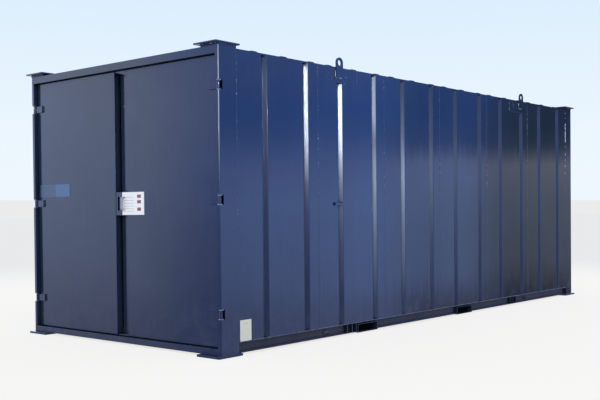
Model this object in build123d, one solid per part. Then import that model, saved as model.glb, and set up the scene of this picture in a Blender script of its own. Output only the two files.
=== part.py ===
from build123d import *
import math
import os

# Portable site cabin: a folded steel body on four corner posts, with two door leaves at one end.
# Millimetres. X runs across the width, Y along the length with the doors at the -Y end, Z is up.
# The origin is the middle of the footprint, on the ground.

# Overall size of the steel body
width = 2740
length = 7085
post_height = 2640

# How far a cut runs past the faces that it opens
overrun = 1

# Corner plates that the cabin stands and stacks on
base_plate_thickness = 20
top_plate_thickness = 14
plate_width = 275
plate_length = 290
plate_end_overhang = 48
plate_side_overhang = 22

# Corner posts, folded from plate
post_sheet = 6
post_side_flange = 217
post_front_flange = 40
post_bend_radius = 12
rear_post_side_flange = 195
rear_post_end_flange = 140
neck_width = 212
neck_height = 16

# Header and sill of the door frame
frame_sheet = 5
header_height = 70
sill_height = 56
stop_gap = 6
stop_cover = 35
header_stop_drop = 30

# Door leaves
door_setback = 40
door_thickness = 64
door_sheet = 2
door_bend_radius = 4
door_side_gap = 8
door_top_gap = 5
door_bottom_gap = 6
niche_width = 174
niche_offset = 25
door_tube_width = 40
door_tube_sheet = 3
door_rail_height = 60

# Closing lip between the leaves, carried by the right leaf
lip_sheet = 4
lip_clearance = 20
top_wedge_tall = 47
top_wedge_short = 12
bottom_wedge_tall = 20
bottom_wedge_short = 6

# Lock box, pull handle and bare plates on the leaves
lock_clearance = 8
lock_height = 217
lock_bottom = 1195
lock_sheet = 4
slot_width = 28
slot_height = 130
slot_margin = 21
handle_height = 123
handle_width = 25
handle_thickness = 9
handle_reach = 34
handle_bend_radius = 12
handle_offset = 60
handle_foot_gap = 1.5
plate_sheet = 2
notice_width = 313
notice_height = 212
notice_end = 37
label_width = 509
label_height = 130
label_hinge_gap = 30
label_margin = 28
certificate_width = 140
certificate_height = 183
certificate_margin = 4

# Strap hinges
hinge_low_margin = 288
hinge_high_margin = 259
hinge_setback = 23
barrel_radius = 14.5
barrel_height = 66
pin_radius = 8
pin_clearance = 0.05
strap_thickness = 10
strap_setback = 2
strap_reach = 124
pad_start = 52
lug_thickness = 10
lug_depth = 43
lug_gap = 2
notch_clearance = 11
notch_depth = 50

# Inside radius of the folds in the wall and roof sheets
fold_radius = 7

# Grooved wall sheets
wall_sheet = 2
groove_opening = 80
groove_floor = 20
groove_depth = 36
panel_length = 1095
panel_margin = 9
groove_places = (345, 915)
wall_top_gap = 14

# Rails
bottom_rail_height = 95
bottom_rail_depth = 50
rail_sheet = 6
top_rail_height = 70
top_rail_width = 60
top_rail_sheet = 4

# Floor
floor_board_thickness = 18
bearer_count = 13
bearer_width = 45
bearer_sheet = 4

# Fork pockets: the front one stands beside the front gussets, and the rear one takes its place from the
# share of the free rail that lies between the two pockets
pocket_width = 338
pocket_sheet = 6
pocket_ground_gap = 10
pocket_gusset_gap = 16
pocket_between_share = 0.6158

# Stiffening gussets and lugs in the bottom rails, placed from the lifting eyes
gusset_offsets = (122, 204, 271)
gusset_thickness = 8
gusset_inset = 6
lug_offset = 180
lug_length = 85
lug_height = 34

# Ribbed roof sheet
roof_sheet_thickness = 2
roof_drop = 4
rib_first = 436
rib_panel = 1061
rib_places = (0, 395, 790)
rib_base = 110
rib_crown = 66
rib_height = 7
roof_end_gap = 1

# Lifting eyes, beside the third groove from each end of the side walls
eye_groove_count = 3
eye_groove_offset = 23
eye_width = 104
eye_thickness = 15
eye_hole_radius = 28
eye_hole_rise = 36
eye_foot = 50
bracket_margin = 16
bracket_length = 365
bracket_thickness = 6
bracket_height = 149

# Small hood over the vent in the third groove
hood_offset = 10
hood_width = 145
hood_height = 30
hood_depth = 18
hood_lip = 6
hood_top = 1300

# Levels and planes worked out from the sizes above
half_width = width / 2
half_length = length / 2
front = -half_length
rear = half_length
post_bottom = base_plate_thickness
post_top = post_bottom + post_height
frame_top = post_top - neck_height
header_bottom = frame_top - header_height
sill_top = post_bottom + sill_height
wall_bottom = post_bottom + bottom_rail_height
roof_top = frame_top - roof_drop
roof_flat_top = roof_top - rib_height
roof_bottom = roof_flat_top - roof_sheet_thickness
wall_top = roof_bottom - wall_top_gap
floor_bottom = wall_bottom - floor_board_thickness
door_face = front + door_setback
door_back = door_face + door_thickness
door_bottom = sill_top + door_bottom_gap
door_top = header_bottom - door_top_gap
stop_face = door_back + stop_gap
stop_back = stop_face + frame_sheet
jamb = half_width - post_front_flange
leaf_outer = jamb - door_side_gap
right_inner = niche_width / 2 + niche_offset
left_inner = niche_width / 2 - niche_offset
lip_end = -left_inner + lip_clearance
lock_end = -left_inner + lock_clearance
handle_low = post_bottom + lock_bottom + (lock_height - handle_height) / 2
handle_high = handle_low + handle_height
hinge_x = half_width - hinge_setback
hinge_y = front + hinge_setback
wall_depth = groove_depth + wall_sheet
web_depth = bottom_rail_depth - rail_sheet
hinge_low = door_bottom + hinge_low_margin
hinge_high = door_top - hinge_high_margin
hinge_levels = (hinge_low, (hinge_low + hinge_high) / 2, hinge_high)
notch_height = barrel_height + 2 * notch_clearance
wall_start = front + post_side_flange
wall_end = rear - rear_post_side_flange


def block(x0, x1, y0, y1, z0, z1):
    # A plain box between two corners
    size = Box(abs(x1 - x0), abs(y1 - y0), abs(z1 - z0))
    return Pos((x0 + x1) / 2, (y0 + y1) / 2, (z0 + z1) / 2) * size


def prism(outline, axis, start, end, rounds=()):
    # A closed outline, given across X, Y or Z, with some corners rounded, carried straight from start to end
    place = {
        "x": lambda u, v: (start, u, v),
        "y": lambda u, v: (u, start, v),
        "z": lambda u, v: (u, v, start),
    }[axis]
    direction = {"x": (1, 0, 0), "y": (0, 1, 0), "z": (0, 0, 1)}[axis]
    face = Face(Wire.make_polygon([place(u, v) for u, v in outline], close=True))
    for radius, corners in rounds:
        chosen = [face.vertices().sort_by_distance(place(u, v))[0] for u, v in corners]
        face = face.fillet_2d(radius, chosen)
    return extrude(face, amount=end - start, dir=direction)


def folded(path, thickness):
    # The closed outline of a folded sheet: an open path and its copy one thickness to the left
    sides = []
    for (u0, v0), (u1, v1) in zip(path, path[1:]):
        run = math.hypot(u1 - u0, v1 - v0)
        sides.append((-(v1 - v0) / run, (u1 - u0) / run))
    inner = []
    for index, (u, v) in enumerate(path):
        before = sides[max(index - 1, 0)]
        after = sides[min(index, len(sides) - 1)]
        mitre = thickness / (1 + before[0] * after[0] + before[1] * after[1])
        inner.append((u + (before[0] + after[0]) * mitre, v + (before[1] + after[1]) * mitre))
    return list(path) + inner[::-1]


def fold_rounds(path, thickness):
    # Radii and corners of the folds of a sheet: the outside of each bend is rounder by the thickness
    outline = folded(path, thickness)
    outside = []
    inside = []
    for index in range(1, len(path) - 1):
        (u0, v0), (u1, v1), (u2, v2) = path[index - 1:index + 2]
        turn = (u1 - u0) * (v2 - v1) - (v1 - v0) * (u2 - u1)
        on_path = outline[index]
        on_copy = outline[-1 - index]
        outside.append(on_path if turn * thickness > 0 else on_copy)
        inside.append(on_copy if turn * thickness > 0 else on_path)
    return [(fold_radius + abs(thickness), outside), (fold_radius, inside)]


def across(part):
    # The same piece on the other side of the cabin
    return mirror(part, about=Plane.YZ)


def at_rear(part):
    # The same piece at the other end of the cabin
    return mirror(part, about=Plane.XZ)


def grooved(start, end, grooves):
    # Path of a grooved sheet along its length: outer face at 0, grooves pressed to -groove_depth
    path = [(start, 0)]
    for place in grooves:
        path += [
            (place - groove_opening / 2, 0),
            (place - groove_floor / 2, -groove_depth),
            (place + groove_floor / 2, -groove_depth),
            (place + groove_opening / 2, 0),
        ]
    path.append((end, 0))
    return path


def groove_centres(first, last):
    # Centres of the grooves of the panels that fit between two places
    panels = math.floor((last - first) / panel_length)
    return [first + panel * panel_length + place for panel in range(panels) for place in groove_places]


side_grooves = groove_centres(wall_start + panel_margin, wall_end)
eye_front_y = side_grooves[eye_groove_count - 1] - eye_groove_offset
eye_rear_y = side_grooves[-eye_groove_count] - eye_groove_offset
gusset_reach = gusset_offsets[-1] + gusset_thickness / 2
pocket_front_y = eye_front_y + gusset_reach + pocket_gusset_gap + pocket_width / 2
free_rail = eye_rear_y - gusset_reach - pocket_front_y - 1.5 * pocket_width
pocket_rear_y = pocket_front_y + pocket_width + pocket_between_share * free_rail


def hinge_notch(level):
    # Space cut out of the post's corner, so that the strap can turn
    return block(
        jamb - overrun, half_width + overrun, front - overrun, front + notch_depth,
        level - notch_height / 2, level + notch_height / 2,
    )


def rounded_corner(post, x, y):
    # The outer bend of a post
    corner = post.edges().filter_by(Axis.Z).sort_by_distance((x, y, post_height / 2))[0]
    return fillet(corner, post_bend_radius)


def front_post():
    # Side flange, rounded corner, narrow front flange, jamb return and door stop
    path = [
        (half_width, front + post_side_flange),
        (half_width, front),
        (jamb, front),
        (jamb, stop_face),
        (jamb - stop_cover, stop_face),
    ]
    section = folded(path, -post_sheet)
    post = rounded_corner(prism(section, "z", post_bottom, frame_top), half_width, front)
    for level in hinge_levels:
        post -= hinge_notch(level)
    neck = block(
        half_width - neck_width, half_width, front, front + post_side_flange, frame_top, post_top,
    )
    return post + neck


def rear_post():
    # A plain folded corner with the same neck
    path = [
        (half_width, rear - rear_post_side_flange),
        (half_width, rear),
        (half_width - rear_post_end_flange, rear),
    ]
    section = folded(path, post_sheet)
    post = rounded_corner(prism(section, "z", post_bottom, frame_top), half_width, rear)
    neck = block(
        half_width - neck_width, half_width, rear - post_side_flange, rear, frame_top, post_top,
    )
    return post + neck


def corner_plates(bottom, thickness):
    # Four square plates, one over or under each post
    outer_x = half_width + plate_side_overhang
    outer_y = front - plate_end_overhang
    plate = block(
        outer_x - plate_width, outer_x, outer_y, outer_y + plate_length, bottom, bottom + thickness,
    )
    return [plate, across(plate), at_rear(plate), across(at_rear(plate))]


def between_stops(piece):
    # The piece cut back where the door stops of the posts run past it
    for side in (-1, 1):
        piece -= block(
            side * (jamb - stop_cover), side * (jamb + overrun), stop_face, stop_face + post_sheet,
            post_bottom - overrun, frame_top + overrun,
        )
    return piece


def front_header():
    # Top flange, front face, soffit and the stop that hangs behind the leaves
    path = [
        (stop_back, frame_top),
        (front, frame_top),
        (front, header_bottom),
        (stop_face, header_bottom),
        (stop_face, header_bottom - header_stop_drop),
    ]
    return between_stops(prism(folded(path, frame_sheet), "x", -jamb, jamb))


def front_sill():
    # Front face, ledge and the upstand that the floor board butts against
    path = [
        (front, post_bottom),
        (front, sill_top),
        (stop_face, sill_top),
        (stop_face, wall_bottom),
    ]
    return between_stops(prism(folded(path, -frame_sheet), "x", -jamb, jamb))


def bottom_channel(outer):
    # Outline of a channel that opens outwards, with its open face at outer
    web = outer - bottom_rail_depth
    path = [
        (outer, wall_bottom),
        (web, wall_bottom),
        (web, post_bottom),
        (outer, post_bottom),
    ]
    return folded(path, rail_sheet)


def pocket_space(centre, inset, reach):
    # Block across the whole width and a reach beyond it, inset from the outside of a fork pocket
    return block(
        -half_width - reach, half_width + reach,
        centre - pocket_width / 2 + inset, centre + pocket_width / 2 - inset,
        pocket_ground_gap + inset, floor_bottom - inset,
    )


def fork_pocket(centre):
    # Rectangular tube through the whole width
    return pocket_space(centre, 0, 0) - pocket_space(centre, pocket_sheet, overrun)


def side_bottom_rail():
    # Channel between the posts, let out around both fork pockets
    rail = prism(bottom_channel(half_width), "y", wall_start, wall_end)
    for centre in (pocket_front_y, pocket_rear_y):
        rail -= pocket_space(centre, 0, overrun)
    return rail


def rear_bottom_rail():
    # The same channel across the rear end
    edge = half_width - rear_post_end_flange
    return prism(bottom_channel(rear), "x", -edge, edge)


def side_top_rail():
    # Box section behind the top edge of the side wall, under the roof
    outer = half_width - wall_depth
    inner = outer - top_rail_width
    low = roof_bottom - top_rail_height
    tube = block(inner, outer, wall_start, wall_end, low, roof_bottom)
    return tube - block(
        inner + top_rail_sheet, outer - top_rail_sheet, wall_start, wall_end,
        low + top_rail_sheet, roof_bottom - top_rail_sheet,
    )


def rear_top_rail():
    # Box section across the rear end, level with the front header
    edge = half_width - rear_post_end_flange
    tube = block(-edge, edge, rear - top_rail_width, rear, header_bottom, frame_top)
    bore = block(
        -edge, edge, rear - top_rail_width + top_rail_sheet, rear - top_rail_sheet,
        header_bottom + top_rail_sheet, frame_top - top_rail_sheet,
    )
    return tube - bore


def side_wall():
    # Grooved sheet, flush with the side flanges of the posts
    path = [(half_width + depth, along) for along, depth in grooved(wall_start, wall_end, side_grooves)]
    section = folded(path, wall_sheet)
    return prism(section, "z", wall_bottom, wall_top, fold_rounds(path, wall_sheet))


def rear_wall():
    # Grooved sheet between the end flanges of the rear posts
    edge = half_width - rear_post_end_flange
    panels = math.floor(2 * edge / panel_length)
    grooves = groove_centres(-panels * panel_length / 2, edge)
    path = [(along, rear + depth) for along, depth in grooved(-edge, edge, grooves)]
    section = folded(path, -wall_sheet)
    return prism(section, "z", wall_bottom, header_bottom, fold_rounds(path, -wall_sheet))


def rib_centres(last):
    # Centres of the roof ribs, three to a roof sheet
    centres = []
    start = front + rib_first
    while start < last:
        centres += [start + place for place in rib_places]
        start += rib_panel
    return [centre for centre in centres if centre + rib_base < last]


def roof_sheet():
    # Ribs run across the width; the corners are cut back around the posts
    y0 = stop_back + roof_end_gap
    y1 = rear - top_rail_width - roof_end_gap
    path = [(y0, roof_flat_top)]
    for centre in rib_centres(y1):
        path += [
            (centre - rib_base / 2, roof_flat_top),
            (centre - rib_crown / 2, roof_top),
            (centre + rib_crown / 2, roof_top),
            (centre + rib_base / 2, roof_flat_top),
        ]
    path.append((y1, roof_flat_top))
    section = folded(path, -roof_sheet_thickness)
    rounds = fold_rounds(path, -roof_sheet_thickness)
    sheet = prism(section, "x", -half_width, half_width, rounds)
    for side in (-1, 1):
        edge = side * (half_width + overrun)
        sheet -= block(
            edge, side * (jamb - stop_cover - roof_end_gap), y0 - overrun,
            front + post_side_flange + roof_end_gap, roof_bottom - overrun, roof_top + overrun,
        )
        sheet -= block(
            edge, side * (half_width - rear_post_end_flange - roof_end_gap),
            rear - rear_post_side_flange - roof_end_gap, y1 + overrun,
            roof_bottom - overrun, roof_top + overrun,
        )
    return sheet


def floor_board():
    # Plywood board between the webs of the rails, behind the sill's upstand
    inner = half_width - bottom_rail_depth
    board = block(-inner, inner, stop_back, rear - bottom_rail_depth, floor_bottom, wall_bottom)
    return between_stops(board)


def bearer(centre):
    # One floor bearer: a channel on its side, from rail to rail
    inner = half_width - bottom_rail_depth
    path = [
        (centre + bearer_width / 2, floor_bottom),
        (centre - bearer_width / 2, floor_bottom),
        (centre - bearer_width / 2, post_bottom),
        (centre + bearer_width / 2, post_bottom),
    ]
    return prism(folded(path, bearer_sheet), "x", -inner, inner)


def floor_bearers():
    # Evenly spaced bearers, left out where a fork pocket runs
    first = stop_back + bearer_width
    last = rear - bottom_rail_depth - bearer_width
    pitch = (last - first) / (bearer_count - 1)
    reach = pocket_width / 2 + bearer_width
    bearers = []
    for index in range(bearer_count):
        centre = first + index * pitch
        if all(abs(centre - pocket) > reach for pocket in (pocket_front_y, pocket_rear_y)):
            bearers.append(bearer(centre))
    return bearers


def rail_gussets():
    # Upright plates in the bottom rail inwards of the lifting eyes, and a small lug outwards of them
    web = half_width - web_depth
    low = post_bottom + rail_sheet
    high = wall_bottom - rail_sheet
    middle = (low + high) / 2
    pieces = []
    for eye_y, inwards in ((eye_front_y, 1), (eye_rear_y, -1)):
        for offset in gusset_offsets:
            centre = eye_y + inwards * offset
            pieces.append(block(
                web, half_width - gusset_inset, centre - gusset_thickness / 2,
                centre + gusset_thickness / 2, low, high,
            ))
        centre = eye_y - inwards * lug_offset
        outline = [
            (centre - lug_length / 2, middle - lug_height / 2),
            (centre + lug_length / 2, middle - lug_height / 2),
            (centre + lug_length / 2, middle),
            (centre, middle + lug_height / 2),
            (centre - lug_length / 2, middle),
        ]
        pieces.append(prism(outline, "x", web, web + gusset_thickness))
    return pieces


def lifting_eye(eye_y, inwards):
    # Round-topped plate with a hole, on a bracket plate that bridges the wall's groove
    hole_z = roof_top + eye_hole_rise
    foot_z = roof_bottom - bracket_height
    face = half_width + bracket_thickness
    bracket_y = eye_y - inwards * (eye_width / 2 + bracket_margin)
    bracket = block(
        half_width, face, bracket_y, bracket_y + inwards * bracket_length, foot_z, roof_bottom,
    )
    eye = block(
        face, face + eye_thickness, eye_y - eye_width / 2, eye_y + eye_width / 2,
        foot_z + eye_foot, hole_z,
    )
    turned = Rot(0, 90, 0) * Cylinder(eye_width / 2, eye_thickness)
    eye += Pos(face + eye_thickness / 2, eye_y, hole_z) * turned
    hole = Rot(0, 90, 0) * Cylinder(eye_hole_radius, eye_thickness + 2 * overrun)
    return bracket + (eye - Pos(face + eye_thickness / 2, eye_y, hole_z) * hole)


def certificate_plate():
    # Bare plate at the foot of the right wall, beside the front post
    y0 = front + post_side_flange + panel_margin + certificate_margin
    z0 = wall_bottom + certificate_margin
    return block(
        half_width, half_width + plate_sheet, y0, y0 + certificate_width, z0, z0 + certificate_height,
    )


def vent_hood():
    # Small sloping hood, open below, on the flats beside the third groove
    centre = eye_front_y - hood_offset
    top = post_bottom + hood_top
    outline = [
        (half_width, top - hood_height),
        (half_width, top),
        (half_width + hood_depth, top - hood_lip),
        (half_width + hood_depth, top - hood_height),
    ]
    return prism(outline, "y", centre - hood_width / 2, centre + hood_width / 2)


def hinge_pins():
    # Three fixed pins, each between two lugs inside the post's corner
    pins = []
    lug_start = barrel_height / 2 + lug_gap
    lug_end = lug_start + lug_thickness
    for level in hinge_levels:
        pin = Pos(hinge_x, hinge_y, level) * Cylinder(pin_radius, 2 * lug_end)
        for side in (-1, 1):
            pin += block(
                jamb + post_sheet, half_width - post_sheet,
                front + post_sheet, front + lug_depth,
                level + side * lug_start, level + side * lug_end,
            )
        pins.append(pin)
    return pins


def strap_hinge(level):
    # Barrel, strap and the pad that fills the step down to the leaf's face
    low = level - barrel_height / 2
    high = level + barrel_height / 2
    strap_front = hinge_y + strap_setback
    strap_back = strap_front + strap_thickness
    strap_end = hinge_x - strap_reach
    strap = Pos(hinge_x, hinge_y, level) * Cylinder(barrel_radius, barrel_height)
    strap += block(strap_end, hinge_x, strap_front, strap_back, low, high)
    strap += block(strap_end, hinge_x - pad_start, strap_back, door_face, low, high)
    bore = Cylinder(pin_radius + pin_clearance, barrel_height + 2 * overrun)
    return strap - Pos(hinge_x, hinge_y, level) * bore


def door_skin(leaf_inner):
    # Folded pan: flat face with returns on all four edges, open at the back
    pan = block(leaf_inner, leaf_outer, door_face, door_back, door_bottom, door_top)
    pan = fillet(pan.faces().sort_by(Axis.Y)[0].edges(), door_bend_radius)
    hollow = block(
        leaf_inner + door_sheet, leaf_outer - door_sheet, door_face + door_sheet, door_back + overrun,
        door_bottom + door_sheet, door_top - door_sheet,
    )
    return pan - hollow


def door_frame(leaf_inner):
    # Channel frame inside the pan, with a cross rail behind each strap hinge
    x0 = leaf_inner + door_sheet
    x1 = leaf_outer - door_sheet
    y0 = door_face + door_sheet
    z0 = door_bottom + door_sheet
    z1 = door_top - door_sheet
    ring = block(x0, x1, y0, door_back, z0, z1)
    ring -= block(
        x0 + door_tube_width, x1 - door_tube_width, y0 - overrun, door_back + overrun,
        z0 + door_tube_width, z1 - door_tube_width,
    )
    wall = door_tube_sheet
    for level in hinge_levels:
        rail = block(
            x0 + door_tube_width, x1 - door_tube_width, y0, door_back,
            level - door_rail_height / 2, level + door_rail_height / 2,
        )
        hollow = block(
            x0 + door_tube_width, x1 - door_tube_width, y0 + wall, door_back + overrun,
            level - door_rail_height / 2 + wall, level + door_rail_height / 2 - wall,
        )
        ring += rail - hollow
    channel = block(x0 + wall, x1 - wall, y0 + wall, door_back + overrun, z0 + wall, z1 - wall)
    channel -= block(
        x0 + door_tube_width - wall, x1 - door_tube_width + wall, y0, door_back + 2 * overrun,
        z0 + door_tube_width - wall, z1 - door_tube_width + wall,
    )
    return ring - channel


def wedge(level, tall, short):
    # Front plate and slanted plate that close one end of the niche; tall is at the right leaf
    outline = [(right_inner, level), (right_inner, level + tall), (lip_end, level + short), (lip_end, level)]
    plate = prism(outline, "y", door_face, door_face + lip_sheet)
    edge = [(right_inner, level + tall), (lip_end, level + short)]
    thickness = math.copysign(lip_sheet, -tall)
    shelf = [edge[0], edge[1], (edge[1][0], edge[1][1] + thickness), (edge[0][0], edge[0][1] + thickness)]
    return plate + prism(shelf, "y", door_face, door_back)


def closing_lip():
    # Back plate of the niche, closed off at the top and the bottom
    lip = block(lip_end, right_inner, door_back - lip_sheet, door_back, door_bottom, door_top)
    lip += wedge(door_top, -top_wedge_tall, -top_wedge_short)
    return lip + wedge(door_bottom, bottom_wedge_tall, bottom_wedge_short)


def lock_box():
    # Box that bridges the niche, flush with the leaves, with an upright slot for the key
    low = post_bottom + lock_bottom
    high = low + lock_height
    back = door_back - lip_sheet
    box = block(lock_end, right_inner, door_face, back, low, high)
    box -= block(
        lock_end + lock_sheet, right_inner - lock_sheet, door_face + lock_sheet, back + overrun,
        low + lock_sheet, high - lock_sheet,
    )
    middle = (low + high) / 2
    slot_edge = lock_end + slot_margin
    return box - block(
        slot_edge, slot_edge + slot_width, door_face - overrun, door_face + lock_sheet + overrun,
        middle - slot_height / 2, middle + slot_height / 2,
    )


def pull_handle():
    # Flat bar bent to a D, its feet on the lock box
    tip = door_face - handle_reach
    path = [(door_face, handle_low), (tip, handle_low), (tip, handle_high), (door_face, handle_high)]
    bar = prism(
        folded(path, -handle_thickness), "x",
        handle_offset - handle_width / 2, handle_offset + handle_width / 2,
    )
    bends = bar.edges().filter_by(Axis.X).group_by(Axis.Y)[0]
    return fillet(bends, handle_bend_radius)


def notice_plate():
    # Bare plate across the edge of the right leaf and the lock box, cut out around the feet of the handle
    low = post_bottom + lock_bottom + (lock_height - notice_height) / 2
    plate = block(
        notice_end, notice_end + notice_width, door_face - plate_sheet, door_face,
        low, low + notice_height,
    )
    reach = handle_width / 2 + handle_foot_gap
    for foot in (handle_low, handle_high - handle_thickness):
        plate -= block(
            handle_offset - reach, handle_offset + reach,
            door_face - plate_sheet - overrun, door_face + overrun,
            foot - handle_foot_gap, foot + handle_thickness + handle_foot_gap,
        )
    return plate


def label_plate():
    # Bare plate at the hinge side of the left leaf, above its middle hinge
    x0 = -leaf_outer + label_margin
    low = hinge_levels[1] + barrel_height / 2 + label_hinge_gap
    return block(x0, x0 + label_width, door_face - plate_sheet, door_face, low, low + label_height)


pieces = {
    "post_front_right": front_post(),
    "post_rear_right": rear_post(),
    "base_plates": corner_plates(0, base_plate_thickness),
    "top_plates": corner_plates(post_top, top_plate_thickness),
    "front_header": front_header(),
    "front_sill": front_sill(),
    "rear_top_rail": rear_top_rail(),
    "rear_bottom_rail": rear_bottom_rail(),
    "side_top_rail_right": side_top_rail(),
    "side_bottom_rail_right": side_bottom_rail(),
    "side_wall_right": side_wall(),
    "rear_wall": rear_wall(),
    "roof_sheet": roof_sheet(),
    "floor_board": floor_board(),
    "floor_bearers": floor_bearers(),
    "fork_pocket_front": fork_pocket(pocket_front_y),
    "fork_pocket_rear": fork_pocket(pocket_rear_y),
    "rail_gussets_right": rail_gussets(),
    "lifting_eye_front_right": lifting_eye(eye_front_y, 1),
    "lifting_eye_rear_right": lifting_eye(eye_rear_y, -1),
    "certificate_plate": certificate_plate(),
    "vent_hood": vent_hood(),
    "hinge_pins_right": hinge_pins(),
    "door_right_skin": door_skin(right_inner),
    "door_left_skin": across(door_skin(left_inner)),
    "door_right_frame": door_frame(right_inner),
    "door_left_frame": across(door_frame(left_inner)),
    "door_right_hinges": [strap_hinge(level) for level in hinge_levels],
    "closing_lip": closing_lip(),
    "lock_box": lock_box(),
    "pull_handle": pull_handle(),
    "notice_plate": notice_plate(),
    "label_plate": label_plate(),
}

# What stands on the right also stands on the left
mirrored = {
    "post_front_right": "post_front_left",
    "post_rear_right": "post_rear_left",
    "side_top_rail_right": "side_top_rail_left",
    "side_bottom_rail_right": "side_bottom_rail_left",
    "side_wall_right": "side_wall_left",
    "rail_gussets_right": "rail_gussets_left",
    "lifting_eye_front_right": "lifting_eye_front_left",
    "lifting_eye_rear_right": "lifting_eye_rear_left",
    "hinge_pins_right": "hinge_pins_left",
    "door_right_hinges": "door_left_hinges",
}

for right_name, left_name in mirrored.items():
    right_piece = pieces[right_name]
    if isinstance(right_piece, list):
        pieces[left_name] = [across(solid) for solid in right_piece]
    else:
        pieces[left_name] = across(right_piece)

os.makedirs("parts", exist_ok=True)
for name, piece in pieces.items():
    shape = Compound(children=piece) if isinstance(piece, list) else piece
    export_step(shape, f"parts/{name}.step")
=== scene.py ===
import math
import random

import bmesh
import bpy
from mathutils import Matrix, Vector


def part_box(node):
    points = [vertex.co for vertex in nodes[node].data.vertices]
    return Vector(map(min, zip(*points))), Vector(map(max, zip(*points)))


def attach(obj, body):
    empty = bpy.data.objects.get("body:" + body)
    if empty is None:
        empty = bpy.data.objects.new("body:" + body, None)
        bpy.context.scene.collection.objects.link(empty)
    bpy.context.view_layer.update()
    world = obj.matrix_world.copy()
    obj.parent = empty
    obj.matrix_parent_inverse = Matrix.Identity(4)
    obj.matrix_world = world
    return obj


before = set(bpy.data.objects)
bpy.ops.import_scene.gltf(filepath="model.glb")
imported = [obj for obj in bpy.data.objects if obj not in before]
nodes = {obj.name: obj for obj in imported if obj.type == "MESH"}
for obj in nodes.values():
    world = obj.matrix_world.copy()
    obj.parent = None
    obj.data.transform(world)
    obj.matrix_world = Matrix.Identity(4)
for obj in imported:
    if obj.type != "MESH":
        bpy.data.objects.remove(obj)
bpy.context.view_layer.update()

# Portable site cabin: navy painted steel with two door leaves at the -Y end.
# Everything is in metres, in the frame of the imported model.

print("frame loaded:", len(nodes), "nodes")


# Camera, at the viewing angle of the photograph

cameraLook = {
    "place": (6.742, -8.878, 1.245),
    "turnLeft": 0.71393,      # from straight along +Y, in radians
    "tiltDown": 0.01879,
    "roll": -0.00989,
    "lens": 53.965,
    "sensor": 36,
    "shift": (0.0209, 0.0455),
    "clip": (0.1, 600),
}


def makeCamera(look):
    data = bpy.data.cameras.new("camera")
    data.lens = look["lens"]
    data.sensor_width = look["sensor"]
    data.shift_x, data.shift_y = look["shift"]
    data.clip_start, data.clip_end = look["clip"]
    camera = bpy.data.objects.new("camera", data)
    bpy.context.scene.collection.objects.link(camera)
    turn = Matrix.Rotation(look["turnLeft"], 4, "Z")
    tilt = Matrix.Rotation(math.pi / 2 - look["tiltDown"], 4, "X")
    roll = Matrix.Rotation(look["roll"], 4, "Z")
    camera.matrix_world = Matrix.Translation(look["place"]) @ turn @ tilt @ roll
    bpy.context.scene.camera = camera


makeCamera(cameraLook)
print("camera placed")


# Shader helpers: every call lays one node and gives back its output

class NodeBench:
    def __init__(self, owner):
        owner.use_nodes = True
        self.tree = owner.node_tree
        self.tree.nodes.clear()

    def add(self, kind, **settings):
        node = self.tree.nodes.new(kind)
        for name, value in settings.items():
            setattr(node, name, value)
        return node

    def plug(self, source, socket):
        if isinstance(source, bpy.types.NodeSocket):
            self.tree.links.new(source, socket)
        elif source is not None:
            socket.default_value = source

    def math(self, operation, a, b=None, clamp=False):
        node = self.add("ShaderNodeMath", operation=operation, use_clamp=clamp)
        self.plug(a, node.inputs[0])
        self.plug(b, node.inputs[1])
        return node.outputs[0]

    def product(self, first, *others):
        for other in others:
            first = self.math("MULTIPLY", first, other)
        return first

    def slide(self, value, low, high, start=0.0, end=1.0, kind="SMOOTHSTEP"):
        node = self.add("ShaderNodeMapRange", interpolation_type=kind)
        for socket, amount in zip(node.inputs, (value, low, high, start, end)):
            self.plug(amount, socket)
        return node.outputs[0]

    def blend(self, share, a, b, kind="MIX"):
        node = self.add("ShaderNodeMix", data_type="RGBA", blend_type=kind)
        self.plug(share, node.inputs[0])
        self.plug(a, node.inputs[6])
        self.plug(b, node.inputs[7])
        return node.outputs[2]

    def ramp(self, value, stops):
        node = self.add("ShaderNodeValToRGB")
        self.plug(value, node.inputs[0])
        marks = node.color_ramp.elements
        while len(marks) < len(stops):
            marks.new(0.5)
        for mark, (place, colour) in zip(marks, stops):
            mark.position = place
            mark.color = (*colour, 1)
        return node.outputs[0]

    def vector(self, operation, a, b):
        node = self.add("ShaderNodeVectorMath", operation=operation)
        self.plug(a, node.inputs[0])
        self.plug(b, node.inputs[1])
        return node.outputs[0]

    def axes(self, vector):
        node = self.add("ShaderNodeSeparateXYZ")
        self.plug(vector, node.inputs[0])
        return node.outputs

    def noise(self, vector, scale, detail=2.0, roughness=0.5):
        node = self.add("ShaderNodeTexNoise")
        self.plug(vector, node.inputs["Vector"])
        for name, amount in (("Scale", scale), ("Detail", detail), ("Roughness", roughness)):
            node.inputs[name].default_value = amount
        return node.outputs["Fac"]

    def bump(self, height, distance, normal=None):
        node = self.add("ShaderNodeBump")
        node.inputs["Strength"].default_value = 1
        node.inputs["Distance"].default_value = distance
        self.plug(height, node.inputs["Height"])
        self.plug(normal, node.inputs["Normal"])
        return node.outputs[0]

    def finish(self, shader, kind="ShaderNodeOutputMaterial"):
        output = self.add(kind)
        self.plug(shader, output.inputs["Surface"])


# Stage: pale floor, pale backdrop

stageLook = {
    "floorRadius": 190,
    "floorSides": 96,
    "floorNear": (0.963, 0.955, 0.935, 1),
    "floorFar": (0.835, 0.835, 0.838, 1),
    "floorFade": (5, 13),
    "ownShare": 0.80,         # share of the floor's tone that shadows don't reach
    "horizon": 0.0107,
    "horizonSlope": (0.0074, 0.0064),
    "skyLow": (0.855, 0.93, 0.99, 1),
    "skyHigh": (0.66, 0.83, 0.98, 1),
    "skyTop": 0.34,           # sine of the elevation where the sky reaches its upper tone
}


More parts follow.
